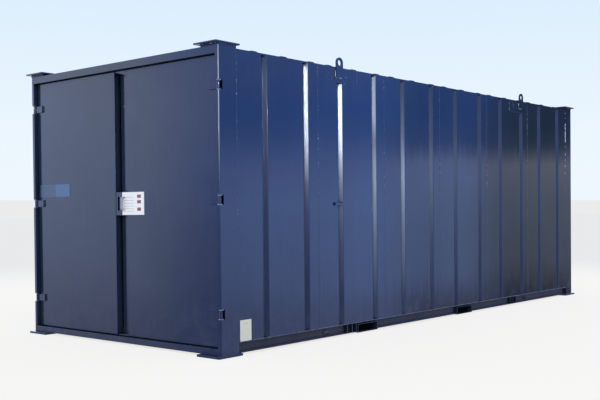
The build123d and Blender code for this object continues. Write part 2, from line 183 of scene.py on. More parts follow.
def makeFloor(look):
    mesh = bpy.data.meshes.new("paleFloor")
    shape = bmesh.new()
    bmesh.ops.create_circle(shape, cap_ends=True, segments=look["floorSides"], radius=look["floorRadius"])
    shape.to_mesh(mesh)
    shape.free()
    floor = bpy.data.objects.new("paleFloor", mesh)
    bpy.context.scene.collection.objects.link(floor)
    material = bpy.data.materials.new("paleFloor")
    bench = NodeBench(material)
    place = bench.add("ShaderNodeTexCoord").outputs["Object"]
    length = bench.add("ShaderNodeVectorMath", operation="LENGTH")
    bench.plug(place, length.inputs[0])
    away = bench.slide(length.outputs["Value"], *look["floorFade"])
    tone = bench.blend(away, look["floorNear"], look["floorFar"])
    # most of the floor's tone is glow, painted light that shadows barely darken, and it glows brighter
    # near the cabin than far away
    glow = bench.add("ShaderNodeEmission")
    bench.plug(tone, glow.inputs["Color"])
    lit = bench.add("ShaderNodeBsdfDiffuse")
    bench.plug(tone, lit.inputs["Color"])
    mixed = bench.add("ShaderNodeMixShader")
    mixed.inputs[0].default_value = look["ownShare"]
    bench.plug(lit.outputs[0], mixed.inputs[1])
    bench.plug(glow.outputs[0], mixed.inputs[2])
    bench.finish(mixed.outputs[0])
    mesh.materials.append(material)
    floor.visible_glossy = False


# Soft studio surroundings. The ramps give the light that the paint reflects, from below the
# horizon to above it. The place of a stop is the sine of its elevation. Pairs of limits such as
# nearToMid are the sideways, forward or upward part of the direction.

skyLook = {
    "fullGlow": 3.2,          # the light that the top of a ramp's scale stands for
    "rampSpan": (-0.16, 0.24),
    "nearSide": [
        (-0.12, (0.60, 0.70, 1.45)), (-0.085, (0.75, 1.06, 2.30)), (-0.03, (0.80, 1.18, 2.66)),
        (0.01, (0.84, 1.28, 2.98)), (0.045, (0.72, 1.08, 2.75)), (0.085, (0.30, 0.66, 2.25)),
        (0.11, (0.20, 0.56, 2.20)), (0.15, (0.33, 0.65, 2.25)), (0.22, (0.38, 0.68, 1.85)),
    ],
    "midSide": [
        (-0.12, (0.27, 0.22, 0.25)), (-0.10, (0.33, 0.33, 0.52)), (-0.085, (0.47, 0.59, 1.14)),
        (-0.07, (0.58, 0.79, 1.50)), (-0.03, (0.63, 0.89, 1.66)), (0.01, (0.70, 1.00, 1.92)),
        (0.040, (0.78, 1.06, 2.15)), (0.052, (0.76, 1.00, 2.05)), (0.062, (0.44, 0.62, 1.50)),
        (0.072, (0.20, 0.39, 1.22)), (0.10, (0.12, 0.33, 1.22)), (0.22, (0.14, 0.33, 1.12)),
    ],
    "farSide": [
        (-0.12, (0.08, 0.06, 0.02)), (-0.092, (0.09, 0.06, 0.01)), (-0.075, (0.22, 0.20, 0.15)),
        (-0.056, (0.36, 0.37, 0.42)), (-0.02, (0.40, 0.44, 0.52)), (0.010, (0.47, 0.51, 0.62)),
        (0.030, (0.56, 0.59, 0.72)), (0.046, (0.64, 0.67, 0.82)), (0.054, (0.38, 0.41, 0.52)),
        (0.066, (0.11, 0.15, 0.21)), (0.085, (0.05, 0.08, 0.14)), (0.22, (0.04, 0.07, 0.16)),
    ],
    "openFront": [
        (-0.12, (0.58, 0.62, 1.00)), (-0.09, (0.86, 0.96, 1.46)), (-0.05, (1.00, 1.19, 1.78)),
        (0.0, (1.15, 1.35, 2.08)), (0.05, (1.25, 1.49, 2.23)), (0.10, (1.43, 1.68, 2.43)),
        (0.15, (1.45, 1.64, 2.23)), (0.22, (1.15, 1.37, 2.13)),
    ],
    "shadedFront": [
        (-0.12, (0.25, 0.32, 0.95)), (-0.05, (0.39, 0.48, 1.35)), (0.0, (0.42, 0.60, 1.66)),
        (0.05, (0.57, 0.79, 1.97)), (0.10, (0.75, 0.99, 2.27)), (0.15, (0.85, 1.11, 2.37)),
        (0.22, (0.75, 1.03, 2.17)),
    ],
    "sideEnd": (0.975, 0.935),          # further round to +Y than this, the near tone returns
    "nearToMid": (0.806, 0.846),
    "midToFar": (0.860, 0.894),
    "openToShaded": (-0.765, -0.712),
    "frontToSide": (-0.35, 0.35),
    "overhead": (0.18, 0.36, 1.05, 1),
    "overheadRise": (0.25, 0.80),
    "underfoot": (0.14, 0.155, 0.19, 1),
    "underfootDrop": (-0.16, -0.45),
    "turn": 40.9,             # middle of the bright strip, in degrees from -Y towards +X
    "acrossSpan": (-0.08, 0.32),
    "riseSpan": (-0.12, 0.22),
    "lights": (
        {   # bright upright strip, out in front to the right
            "colour": (8.0, 9.0, 10.4, 1),
            "across": [(-0.049, 0.0), (-0.036, 0.57), (-0.008, 0.57), (0.006, 1.0), (0.026, 1.0),
                       (0.040, 0.28), (0.057, 0.08), (0.075, 0.004), (0.10, 0.0)],
            "rise": [(-0.034, 0.0), (0.010, 0.016), (0.033, 0.065), (0.055, 0.31), (0.077, 0.81),
                     (0.088, 0.95), (0.10, 1.0), (0.154, 1.0), (0.163, 0.0)],
        },
        {   # its glaring middle, which only the folds catch
            "colour": (260, 267, 287, 1),
            "across": [(-0.003, 0.0), (0.0, 1.0), (0.003, 1.0), (0.006, 0.0)],
            "rise": [(0.080, 0.0), (0.092, 1.0), (0.154, 1.0), (0.163, 0.0)],
        },
        {   # a pale shoulder beside it, high up
            "colour": (2.0, 2.35, 2.9, 1),
            "across": [(0.044, 0.0), (0.050, 1.0), (0.066, 1.0), (0.073, 0.0)],
            "rise": [(0.082, 0.0), (0.102, 1.0), (0.154, 1.0), (0.163, 0.0)],
        },
        {   # its softer neighbour, low down
            "colour": (1.9, 2.3, 2.9, 1),
            "across": [(-0.04, 0.0), (0.019, 0.22), (0.05, 0.9), (0.095, 1.0), (0.12, 0.25),
                       (0.20, 0.08), (0.30, 0.0)],
            "rise": [(-0.10, 0.05), (-0.034, 0.36), (0.010, 0.72), (0.033, 1.0), (0.055, 0.88),
                     (0.077, 0.33), (0.122, 0.08), (0.16, 0.0)],
        },
    ),
    "backTone": (0.35, 0.38, 0.45, 1),
    "backEdges": (0.30, 0.05),
    "backAlong": (0.2, 0.6),
    "backRise": (-0.06, 0.10),
    "diffuse": (0.62, 0.66, 0.74, 1),
}


def makeSky(look, stage):
    world = bpy.data.worlds.new("softSky")
    bpy.context.scene.world = world
    bench = NodeBench(world)
    x, y, z = bench.axes(bench.add("ShaderNodeTexCoord").outputs["Generated"])

    # What the camera sees behind the cabin
    horizon = stage["horizon"]
    slopeX, slopeY = stage["horizonSlope"]
    level = bench.math("ADD", z, bench.math("ADD", bench.product(x, slopeX), bench.product(y, slopeY)))
    sky = bench.blend(bench.slide(level, horizon, stage["skyTop"]), stage["skyLow"], stage["skyHigh"])
    above = bench.math("GREATER_THAN", level, horizon)
    backdrop = bench.blend(above, stage["floorFar"], sky)

    # What the paint reflects
    def graded(value, span, stops):
        # A ramp along value, with its stops in value's own measure
        start, end = span
        marks = [((place - start) / (end - start), colour) for place, colour in stops]
        return bench.ramp(bench.slide(value, start, end, kind="LINEAR"), marks)

    def band(name):
        stops = [(place, [part / look["fullGlow"] for part in colour]) for place, colour in look[name]]
        return graded(z, look["rampSpan"], stops)

    beyond = bench.slide(y, *look["sideEnd"])
    mid = bench.product(bench.slide(y, *look["nearToMid"]), beyond)
    side = bench.blend(mid, band("nearSide"), band("midSide"))
    far = bench.product(bench.slide(y, *look["midToFar"]), beyond)
    side = bench.blend(far, side, band("farSide"))
    shaded = bench.slide(x, *look["openToShaded"])
    front = bench.blend(shaded, band("openFront"), band("shadedFront"))
    tone = bench.blend(bench.slide(y, *look["frontToSide"]), front, side)
    tone = bench.blend(bench.slide(z, *look["overheadRise"]), tone, look["overhead"])
    tone = bench.blend(bench.slide(z, *look["underfootDrop"]), tone, look["underfoot"])

    # Bright patches, by how far across from the strip's middle and how high they lie
    turn = math.radians(look["turn"])
    across = bench.math("ADD", bench.product(x, math.cos(turn)), bench.product(y, math.sin(turn)))
    ahead = bench.math("SUBTRACT", bench.product(x, math.sin(turn)), bench.product(y, math.cos(turn)))
    ahead = bench.math("GREATER_THAN", ahead, 0.0)

    def shares(value, span, stops):
        return graded(value, span, [(place, (share, share, share)) for place, share in stops])

    for patch in look["lights"]:
        wide = shares(across, look["acrossSpan"], patch["across"])
        tall = shares(z, look["riseSpan"], patch["rise"])
        tone = bench.blend(bench.product(wide, tall, ahead), tone, patch["colour"], "ADD")

    # Open sky past the far end, seen only by the far side of a fold
    back = bench.product(bench.slide(x, *look["backEdges"]), bench.slide(y, *look["backAlong"]),
                         bench.slide(z, *look["backRise"]))
    tone = bench.blend(back, tone, look["backTone"], "ADD")
    scaled = bench.add("ShaderNodeVectorMath", operation="SCALE")
    bench.plug(tone, scaled.inputs[0])
    scaled.inputs["Scale"].default_value = look["fullGlow"]

    rays = bench.add("ShaderNodeLightPath")
    light = bench.blend(rays.outputs["Is Glossy Ray"], look["diffuse"], scaled.outputs[0])
    light = bench.blend(rays.outputs["Is Camera Ray"], light, backdrop)
    background = bench.add("ShaderNodeBackground")
    bench.plug(light, background.inputs["Color"])
    bench.finish(background.outputs[0], "ShaderNodeOutputWorld")


lampLook = {
    "from": (9, -9, 11),
    "strength": 1.1,
    "spread": 28,
}


def makeLamp(look):
    data = bpy.data.lights.new("softKey", "SUN")
    data.energy = look["strength"]
    data.angle = math.radians(look["spread"])
    lamp = bpy.data.objects.new("softKey", data)
    lamp.rotation_mode = "QUATERNION"
    lamp.rotation_quaternion = Vector(look["from"]).to_track_quat("Z", "Y")
    lamp.visible_glossy = False
    bpy.context.scene.collection.objects.link(lamp)


makeFloor(stageLook)
makeSky(skyLook, stageLook)
makeLamp(lampLook)
bpy.context.scene.view_settings.view_transform = "Standard"
print("floor, backdrop and soft light made")


# Navy paint over pressed steel

navyLook = {
    "deep": (0.0088, 0.0165, 0.0355, 1),
    "lifted": (0.0122, 0.0225, 0.0485, 1),
    "cloudScale": 1.3,
    "runStretch": (26, 26, 1.1),
    "runShare": 0.3,
    "runLean": 0.0,           # how far the runs tilt what the paint reflects
    "dust": (0.100, 0.100, 0.100, 1),
    "dustTop": 0.70,
    "dustShare": 0.10,
    "dustScale": 9,
    "scuff": (0.16, 0.18, 0.22, 1),
    "scuffShare": 0.35,
    "scuffStretch": (60, 60, 4),
    "scuffPatches": 2.3,
    "chip": (0.24, 0.25, 0.27, 1),
    "chipShare": 0.55,
    "chipWidth": 0.004,
    "chipScale": 31,
    # painted highlight along a post's rounded fold, for the posts that have one
    "foldHighlight": (0.29, 0.33, 0.385, 1),
    "foldHighlightShare": 0.0,
    "foldHighlightFrom": (1.35, 2.35),
    "peelScale": 190,
    "peelHeight": 0.000010,
    "waveStretch": (2.6, 2.6, 1.0),
    "waveHeight": 0.00045,
    # colour of the painted shade laid in corners, gaps and recesses
    "paintedShade": (0.006, 0.009, 0.013, 1),
    "paintedShadeReach": 0.07,
    "paintedShadeSheen": 0.12,
    "gloss": (0.05, 0.09),    # roughness of the glossiest and the dullest spots
    "glossScale": 5,
    "dustDulls": 1.5,         # roughness that full dust and full painted shade add
    "paintedShadeDulls": 0.5,
    "sheen": 0.5,
}
navyWallLook = {**navyLook, "chipShare": 0.0, "waveStretch": (3.0, 2.6, 0.7), "waveHeight": 0.0006,
                "runLean": 0.007, "gloss": (0.03, 0.045)}
navyDoorLook = {**navyLook, "waveStretch": (2.0, 2.0, 0.8), "waveHeight": 0.0006, "chipShare": 0.4,
                "gloss": (0.10, 0.16)}
# Roof: dull and dusty, with no reflection of its own; its lighter, bluer ground colour also stands in for
# the sky's blue reflection, as painted reflection
navyRoofLook = {**navyWallLook, "deep": (0.027, 0.046, 0.110, 1), "lifted": (0.037, 0.060, 0.134, 1),
                "runLean": 0.0, "gloss": (0.30, 0.42), "sheen": 0.0}
# front posts carry a painted highlight along their rounded fold
navyPostLook = {**navyLook, "foldHighlightShare": 0.85}
# Bottom rails: dusty and rough, with little reflection; their lighter ground colour also stands in for
# light bounced up from the floor, as painted light
navyRailLook = {**navyLook, "deep": (0.045, 0.051, 0.082, 1), "lifted": (0.062, 0.069, 0.104, 1),
                "gloss": (0.40, 0.55), "sheen": 0.04, "chipShare": 0.8}


def navyPaint(name, look):
    material = bpy.data.materials.new(name)
    bench = NodeBench(material)
    place = bench.add("ShaderNodeTexCoord").outputs["Object"]
    height = bench.axes(place)[2]

    # Slow drift of the colour, and runs that follow the wet paint down
    cloud = bench.noise(place, look["cloudScale"], 3, 0.55)
    runs = bench.noise(bench.vector("MULTIPLY", place, look["runStretch"]), 1.0, 3, 0.6)
    runShare = look["runShare"]
    drift = bench.math("ADD", bench.product(cloud, 1 - runShare), bench.product(runs, runShare))
    tone = bench.blend(bench.slide(drift, 0.36, 0.64), look["deep"], look["lifted"])

    # Road dust, thickest near the ground
    low = bench.slide(height, look["dustTop"], 0.0)
    speckle = bench.slide(bench.noise(place, look["dustScale"], 5, 0.65), 0.35, 0.75)
    dust = bench.product(low, speckle, look["dustShare"])
    tone = bench.blend(dust, tone, look["dust"])

    # Fine scuffs, sparse and mostly upright
    scratch = bench.noise(bench.vector("MULTIPLY", place, look["scuffStretch"]), 1.0, 4, 0.7)
    patch = bench.slide(bench.noise(place, look["scuffPatches"], 2), 0.56, 0.72)
    scuff = bench.product(bench.slide(scratch, 0.66, 0.74), patch, look["scuffShare"])
    tone = bench.blend(scuff, tone, look["scuff"])

    # Chips along the edges, where the rounded normal leaves the flat one
    if look["chipShare"] > 0:
        rounded = bench.add("ShaderNodeBevel", samples=4)
        rounded.inputs["Radius"].default_value = look["chipWidth"]
        true = bench.add("ShaderNodeNewGeometry").outputs["Normal"]
        facing = bench.add("ShaderNodeVectorMath", operation="DOT_PRODUCT")
        bench.plug(rounded.outputs[0], facing.inputs[0])
        bench.plug(true, facing.inputs[1])
        edge = bench.slide(facing.outputs["Value"], 0.995, 0.90)
        worn = bench.slide(bench.noise(place, look["chipScale"], 4, 0.7), 0.58, 0.66)
        chip = bench.product(edge, worn, look["chipShare"])
        tone = bench.blend(chip, tone, look["chip"])

    # Painted highlight along the rounded fold of a post, stronger the higher it is
    if look["foldHighlightShare"] > 0:
        sideways, ahead, _ = bench.axes(bench.add("ShaderNodeNewGeometry").outputs["Normal"])
        fold = bench.slide(bench.math("ABSOLUTE", bench.product(sideways, ahead)), 0.16, 0.44)
        thin = bench.product(fold, bench.slide(height, *look["foldHighlightFrom"]), look["foldHighlightShare"])
        tone = bench.blend(thin, tone, look["foldHighlight"])

    # Painted shade where the plates close in on each other: ambient occlusion darkens the colour in
    # corners, gaps and recesses
    shelter = bench.add("ShaderNodeAmbientOcclusion", samples=6)
    shelter.inputs["Distance"].default_value = look["paintedShadeReach"]
    sheltered = bench.slide(shelter.outputs["AO"], 0.72, 0.28)
    tone = bench.blend(sheltered, tone, look["paintedShade"])

    # Gloss, duller where there is dust or painted shade
    gloss = bench.noise(place, look["glossScale"], 4, 0.6)
    rough = bench.slide(gloss, 0.3, 0.7, *look["gloss"])
    rough = bench.math("ADD", rough, bench.product(dust, look["dustDulls"]))
    rough = bench.math("ADD", rough, bench.product(sheltered, look["paintedShadeDulls"]))
    # the painted shade also cuts the reflection in corners and gaps
    sheen = bench.slide(sheltered, 0.0, 1.0, look["sheen"], look["paintedShadeSheen"])

    # Orange peel, slow waves of the sheet, and the lean of the runs
    waves = bench.noise(bench.vector("MULTIPLY", place, look["waveStretch"]), 1.0, 1.5, 0.45)
    peel = bench.noise(place, look["peelScale"], 1)
    normal = bench.bump(peel, look["peelHeight"])
    normal = bench.bump(waves, look["waveHeight"], normal)
    if look["runLean"] > 0:
        tilt = bench.slide(runs, 0.2, 0.8, -look["runLean"], look["runLean"], "LINEAR")
        lean = bench.add("ShaderNodeCombineXYZ")
        bench.plug(tilt, lean.inputs[2])
        normal = bench.vector("NORMALIZE", bench.vector("ADD", normal, lean.outputs[0]), None)

    paint = bench.add("ShaderNodeBsdfPrincipled")
    bench.plug(tone, paint.inputs["Base Color"])
    bench.plug(rough, paint.inputs["Roughness"])
    bench.plug(sheen, paint.inputs["Specular IOR Level"])
    bench.plug(normal, paint.inputs["Normal"])
    bench.finish(paint.outputs[0])
    return material


# Navy paint over a weld bead: duller, with spatter and pale spots from a given height up. The pale spots
# are partly thin paint and partly painted glints, which is why they thin out lower down

weldLook = {
    "paint": (0.016, 0.028, 0.060, 1),
    "thin": (0.42, 0.45, 0.50, 1),
    "paleSpotShare": 0.75,
    "spots": (0.56, 0.64),
    "spotsFrom": (0.7, 1.8),  # height where the spots start, and where they are full
    "spotScale": 30,
    "roughness": 0.16,
    "grain": 0.00006,
    "grainScale": 420,
}
paleWeldLook = {**weldLook, "thin": (0.62, 0.66, 0.72, 1), "paleSpotShare": 0.95, "spots": (0.42, 0.52),
                "spotsFrom": (1.4, 2.1)}
dustyWeldLook = {**weldLook, "paint": (0.032, 0.033, 0.040, 1), "thin": (0.135, 0.127, 0.118, 1),
                 "spots": (0.45, 0.62), "spotsFrom": (-1.0, 0.0), "roughness": 0.5, "grain": 0.0001}


def weldPaint(name, look):
    material = bpy.data.materials.new(name)
    bench = NodeBench(material)
    place = bench.add("ShaderNodeTexCoord").outputs["Object"]
    spots = bench.slide(bench.noise(place, look["spotScale"], 4, 0.7), *look["spots"])
    higher = bench.slide(bench.axes(place)[2], *look["spotsFrom"])
    # pale spots, partly painted glints, thinning out lower down
    spots = bench.product(spots, higher, look["paleSpotShare"])
    tone = bench.blend(spots, look["paint"], look["thin"])
    paint = bench.add("ShaderNodeBsdfPrincipled")
    bench.plug(tone, paint.inputs["Base Color"])
    paint.inputs["Roughness"].default_value = look["roughness"]
    grain = bench.noise(place, look["grainScale"], 3)
    bench.plug(bench.bump(grain, look["grain"]), paint.inputs["Normal"])
    bench.finish(paint.outputs[0])
    return material


# Film-faced plywood floor: brown resin film over veneer, sheets butted across the cabin

plyLook = {
    "film": (0.105, 0.062, 0.036, 1),
    "worn": (0.27, 0.18, 0.105, 1),
    "edge": (0.36, 0.26, 0.16, 1),
    "joint": (0.02, 0.015, 0.01, 1),
    "sheetLength": 1.22,
    "jointWidth": 0.003,
    "plyPair": 0.0036,        # two veneers of the edge, one light and one dark
    "grainStretch": (3, 90, 90),
    "grainHeight": 0.0003,
    "traffic": 0.35,
    "trafficScale": 1.6,
    "roughness": (0.42, 0.6),
}


def plyBoard(look):
    material = bpy.data.materials.new("plyBoard")
    bench = NodeBench(material)
    place = bench.add("ShaderNodeTexCoord").outputs["Object"]
    _, y, z = bench.axes(place)
    grain = bench.noise(bench.vector("MULTIPLY", place, look["grainStretch"]), 1.0, 5, 0.6)
    tone = bench.blend(bench.slide(grain, 0.3, 0.75), look["film"], look["worn"])
    traffic = bench.slide(bench.noise(place, look["trafficScale"], 4, 0.6), 0.45, 0.7)
    tone = bench.blend(bench.product(traffic, look["traffic"]), tone, look["worn"])
    plies = bench.math("SINE", bench.product(z, 2 * math.pi / look["plyPair"]))
    upward = bench.axes(bench.add("ShaderNodeNewGeometry").outputs["Normal"])[2]
    rim = bench.slide(bench.math("ABSOLUTE", upward), 0.6, 0.3)
    rimTone = bench.blend(bench.slide(plies, -0.5, 0.5), look["edge"], look["worn"])
    tone = bench.blend(rim, tone, rimTone)
    along = bench.math("PINGPONG", y, look["sheetLength"] / 2)
    joint = bench.math("LESS_THAN", along, look["jointWidth"] / 2)
    tone = bench.blend(joint, tone, look["joint"])
    board = bench.add("ShaderNodeBsdfPrincipled")
    bench.plug(tone, board.inputs["Base Color"])
    bench.plug(bench.slide(grain, 0.3, 0.7, *look["roughness"]), board.inputs["Roughness"])
    height = bench.math("SUBTRACT", grain, bench.product(joint, 3.0))
    bench.plug(bench.bump(height, look["grainHeight"]), board.inputs["Normal"])
    bench.finish(board.outputs[0])
    return material


# Metals that carry no paint

zincLook = {
    "light": (0.50, 0.50, 0.42, 1),
    "dark": (0.20, 0.19, 0.14, 1),
    "spangle": 260,
    "dullScale": 60,
    "dullShare": 0.65,
    "metal": 0.45,
    "roughness": (0.34, 0.52),
    "height": 0.0002,
}
steelLook = {**zincLook, "light": (0.42, 0.41, 0.40, 1), "dark": (0.13, 0.10, 0.08, 1), "spangle": 120,
             "metal": 0.85}


def bareMetal(name, look):
    material = bpy.data.materials.new(name)
    bench = NodeBench(material)
    place = bench.add("ShaderNodeTexCoord").outputs["Object"]
    cells = bench.add("ShaderNodeTexVoronoi", feature="F1")
    bench.plug(place, cells.inputs["Vector"])
    cells.inputs["Scale"].default_value = look["spangle"]
    grains = bench.axes(cells.outputs["Color"])[0]
    dull = bench.noise(place, look["dullScale"], 4, 0.6)
    dullShare = look["dullShare"]
    share = bench.math("ADD", bench.product(grains, 1 - dullShare), bench.product(dull, dullShare))
    tone = bench.blend(bench.slide(share, 0.3, 0.7), look["dark"], look["light"])
    metal = bench.add("ShaderNodeBsdfPrincipled")
    bench.plug(tone, metal.inputs["Base Color"])
    metal.inputs["Metallic"].default_value = look["metal"]
    bench.plug(bench.slide(grains, 0, 1, *look["roughness"]), metal.inputs["Roughness"])
    bench.plug(bench.bump(dull, look["height"]), metal.inputs["Normal"])
    bench.finish(metal.outputs[0])
    return material


# Printed faces: a plain ground, thin ruled lines and plain squares, no lettering.
# Lines and squares lie at shares of the face's height, and spans are shares of its width.

printLook = {
    "lineShare": 0.75,
    "softRim": 0.15,          # of a line or square, as a share of its half height
    "fade": (0.30, 0.29, 0.26, 1),
    "fadeShare": 0.12,
    "fadeScale": 55,
    "fadeHeight": 0.0001,
}
noticeLook = {
    "ground": (0.86, 0.86, 0.88, 1),
    "line": (0.34, 0.35, 0.38, 1),
    "square": (0.22, 0.075, 0.07, 1),
    "roughness": 0.32,
    "lines": (0.23, 0.36, 0.49, 0.61, 0.73, 0.85),
    "lineSpan": (0.08, 0.52),
    "lineHalf": 0.011,
    "squares": (0.19, 0.43, 0.75),
    "squareSpan": (0.69, 0.86),
    "squareHalf": 0.072,
}
certificateLook = {
    "ground": (0.60, 0.62, 0.54, 1),
    "line": (0.43, 0.43, 0.30, 1),
    "square": (0.56, 0.55, 0.36, 1),
    "roughness": 0.30,
    "lines": (0.34, 0.42, 0.50, 0.58, 0.66, 0.74, 0.82, 0.90),
    "lineSpan": (0.10, 0.90),
    "lineHalf": 0.007,
    "squares": (0.17,),
    "squareSpan": (0.28, 0.72),
    "squareHalf": 0.07,
}
labelLook = {
    "ground": (0.032, 0.060, 0.120, 1),
    "line": (0.040, 0.105, 0.225, 1),
    "square": (0.040, 0.105, 0.225, 1),
    "roughness": 0.28,
    "lines": (),
    "lineSpan": (0, 1),
    "lineHalf": 0.01,
    "squares": (0.5,),
    "squareSpan": (0.53, 0.99),
    "squareHalf": 0.46,
}


def printedFace(name, node, look, along):
    # along is the axis that runs across the plate: 0 for a plate on a door, 1 for one on a side
    material = bpy.data.materials.new(name)
    bench = NodeBench(material)
    low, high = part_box(node)
    place = bench.add("ShaderNodeTexCoord").outputs["Object"]
    spots = bench.axes(place)
    right = bench.slide(spots[along], low[along], high[along], kind="LINEAR")
    down = bench.slide(spots[2], high.z, low.z, kind="LINEAR")

    def bars(places, span, half):
        inside = bench.product(
            bench.math("GREATER_THAN", right, span[0]), bench.math("LESS_THAN", right, span[1]))
        outer = half * (1 + printLook["softRim"])
        inner = half * (1 - printLook["softRim"])
        total = 0.0
        for centre in places:
            off = bench.math("ABSOLUTE", bench.math("SUBTRACT", down, centre))
            total = bench.math("ADD", total, bench.slide(off, outer, inner), clamp=True)
        return bench.product(inside, total)

    lines = bars(look["lines"], look["lineSpan"], look["lineHalf"])
    tone = bench.blend(bench.product(lines, printLook["lineShare"]), look["ground"], look["line"])
    squares = bars(look["squares"], look["squareSpan"], look["squareHalf"])
    tone = bench.blend(squares, tone, look["square"])
    fade = bench.noise(place, printLook["fadeScale"], 4, 0.6)
    faded = bench.slide(fade, 0.35, 0.8, 0.0, printLook["fadeShare"])
    tone = bench.blend(faded, tone, printLook["fade"])
    face = bench.add("ShaderNodeBsdfPrincipled")
    bench.plug(tone, face.inputs["Base Color"])
    face.inputs["Roughness"].default_value = look["roughness"]
    bench.plug(bench.bump(fade, printLook["fadeHeight"]), face.inputs["Normal"])
    bench.finish(face.outputs[0])
    return material


navyWall = navyPaint("navyWall", navyWallLook)
navyDoor = navyPaint("navyDoor", navyDoorLook)
navyFrame = navyPaint("navyFrame", navyLook)
navyRail = navyPaint("navyRail", navyRailLook)
navyRoof = navyPaint("navyRoof", navyRoofLook)
navyPost = navyPaint("navyPost", navyPostLook)
navyWeld = weldPaint("navyWeld", weldLook)
paleWeld = weldPaint("paleWeld", paleWeldLook)
dustyWeld = weldPaint("dustyWeld", dustyWeldLook)
zinc = bareMetal("galvanisedBar", zincLook)
steel = bareMetal("bareSteel", steelLook)

finishByWord = {    # a word in a node's name, and the finish of every node that has it
    "wall": navyWall,
    "post_front": navyPost,
    "roof_sheet": navyRoof,
    "bottom_rail": navyRail,
    "skin": navyDoor,
    "closing_lip": navyDoor,
    "hinge_pins": steel,
}
finishes = {name: navyFrame for name in nodes}
for word, finish in finishByWord.items():
    finishes.update({name: finish for name in nodes if word in name})
finishes["floor_board"] = plyBoard(plyLook)
finishes["pull_handle"] = zinc
finishes["notice_plate"] = printedFace("noticeFace", "notice_plate", noticeLook, 0)
finishes["label_plate"] = printedFace("labelFace", "label_plate", labelLook, 0)
finishes["certificate_plate"] = printedFace("certificateFace", "certificate_plate", certificateLook, 1)

for name, node in nodes.items():
    for slot in node.material_slots:
        slot.material = finishes[name]
print("finishes laid on", len(nodes), "nodes")


# Soft edges on the plate work

edgeLook = {
    "plain": 0.0018,
    "thin": 0.0006,
    "thinNodes": ("side_wall", "rear_wall", "roof_sheet", "door_left_skin", "door_right_skin",
                  "notice_plate", "label_plate", "certificate_plate", "closing_lip", "lock_box"),
    "angle": 40,
    "segments": 2,
    "join": 0.00002,          # points nearer than this are one
}


def softenEdges(node, width, look):
    join = node.modifiers.new("join", "WELD")
    join.merge_threshold = look["join"]
    bevel = node.modifiers.new("edges", "BEVEL")
    bevel.width = width
    bevel.segments = look["segments"]
    bevel.limit_method = "ANGLE"
    bevel.angle_limit = math.radians(look["angle"])
    bevel.harden_normals = True
    level = node.modifiers.new("shading", "WEIGHTED_NORMAL")
    level.keep_sharp = True


for name, node in nodes.items():
    thin = name.startswith(edgeLook["thinNodes"])
    softenEdges(node, edgeLook["thin"] if thin else edgeLook["plain"], edgeLook)
print("edges softened")


# Places that several of the added pieces share

wallLow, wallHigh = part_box("side_wall_right")
wallFace = wallHigh.x
roofLow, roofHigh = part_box("roof_sheet")
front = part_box("post_front_right")[0].y
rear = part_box("post_rear_right")[1].y


def sideName(side):
    return "right" if side > 0 else "left"


# Every added piece starts as loose points and faces, then gets its finish and its body

def joinRings(shape, rings):
    # A closed skin over rings of points that follow each other; a last ring of one point is a tip
    for first, second in zip(rings, rings[1:]):
        count = len(first)
        for k in range(count):
            after = (k + 1) % count
            if len(second) == 1:
                shape.faces.new((first[k], first[after], second[0]))
            else:
                shape.faces.new((first[k], first[after], second[after], second[k]))
    shape.faces.new(rings[0])
    if len(rings[-1]) > 1:
        shape.faces.new(rings[-1][::-1])


def addPiece(name, shape, finish, body, smooth=False):
    bmesh.ops.recalc_face_normals(shape, faces=shape.faces)
    mesh = bpy.data.meshes.new(name)
    shape.to_mesh(mesh)
    shape.free()
    if smooth:
        mesh.shade_smooth()
    mesh.materials.append(finish)
    piece = bpy.data.objects.new(name, mesh)
    bpy.context.scene.collection.objects.link(piece)
    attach(piece, body)


# Welds: beads with ripples, laid on a surface or in a corner

beadLook = {
    "around": (-12, 28, 68, 112, 152, 192),   # angles of the points of a ring, in degrees
    "endSize": 0.25,          # size of the end rings, as a share
    "endGrowth": 0.5,         # what every ring further in gains
    "ripple": 0.14,           # how much smaller every second ring is
    "ringSize": (0.85, 1.12),
    "wander": 0.05,           # sideways, as a share of the width
    "stitch": (0.25, 1),      # length of a stitch, as a share of the longest
    "stitchGap": (0.3, 1.4),
    "shortest": 0.01,
}


class Beads:
    def __init__(self, name, body, seed, finish=navyWeld):
        self.name = name
        self.finish = finish
        self.body = body
        self.shape = bmesh.new()
        self.chance = random.Random(seed)

    def lay(self, start, end, out, width=0.006, height=0.0016, step=0.007):
        start, end, out = Vector(start), Vector(end), Vector(out).normalized()
        run = end - start
        side = run.normalized().cross(out)
        count = max(3, int(run.length / step))
        turns = [math.radians(angle) for angle in beadLook["around"]]
        rings = []
        for index in range(count + 1):
            ends = min(1, beadLook["endSize"] + beadLook["endGrowth"] * min(index, count - index))
            ripple = 1 - beadLook["ripple"] * (1 - index % 2)
            size = ripple * self.chance.uniform(*beadLook["ringSize"]) * ends
            sway = self.chance.uniform(-beadLook["wander"], beadLook["wander"]) * width
            centre = start + run * (index / count) + side * sway
            ring = []
            for turn in turns:
                reach = side * math.cos(turn) * width / 2 + out * math.sin(turn) * height
                ring.append(self.shape.verts.new(centre + reach * size))
            rings.append(ring)
        for first, second in zip(rings, rings[1:]):
            for k in range(len(turns) - 1):
                self.shape.faces.new((first[k], second[k], second[k + 1], first[k + 1]))
        self.shape.faces.new(rings[0])
        self.shape.faces.new(rings[-1][::-1])

    def stitch(self, start, end, out, longest, gap, **sizes):
        start, end = Vector(start), Vector(end)
        run = (end - start).length
        along = (end - start).normalized()
        place = self.chance.uniform(0, gap)
        while place < run:
            stop = min(run, place + self.chance.uniform(*beadLook["stitch"]) * longest)
            if stop - place > beadLook["shortest"]:
                self.lay(start + along * place, start + along * stop, out, **sizes)
            place = stop + self.chance.uniform(*beadLook["stitchGap"]) * gap

    def place(self):
        addPiece(self.name, self.shape, self.finish, self.body, smooth=True)


# Joints between the sheets of the side walls

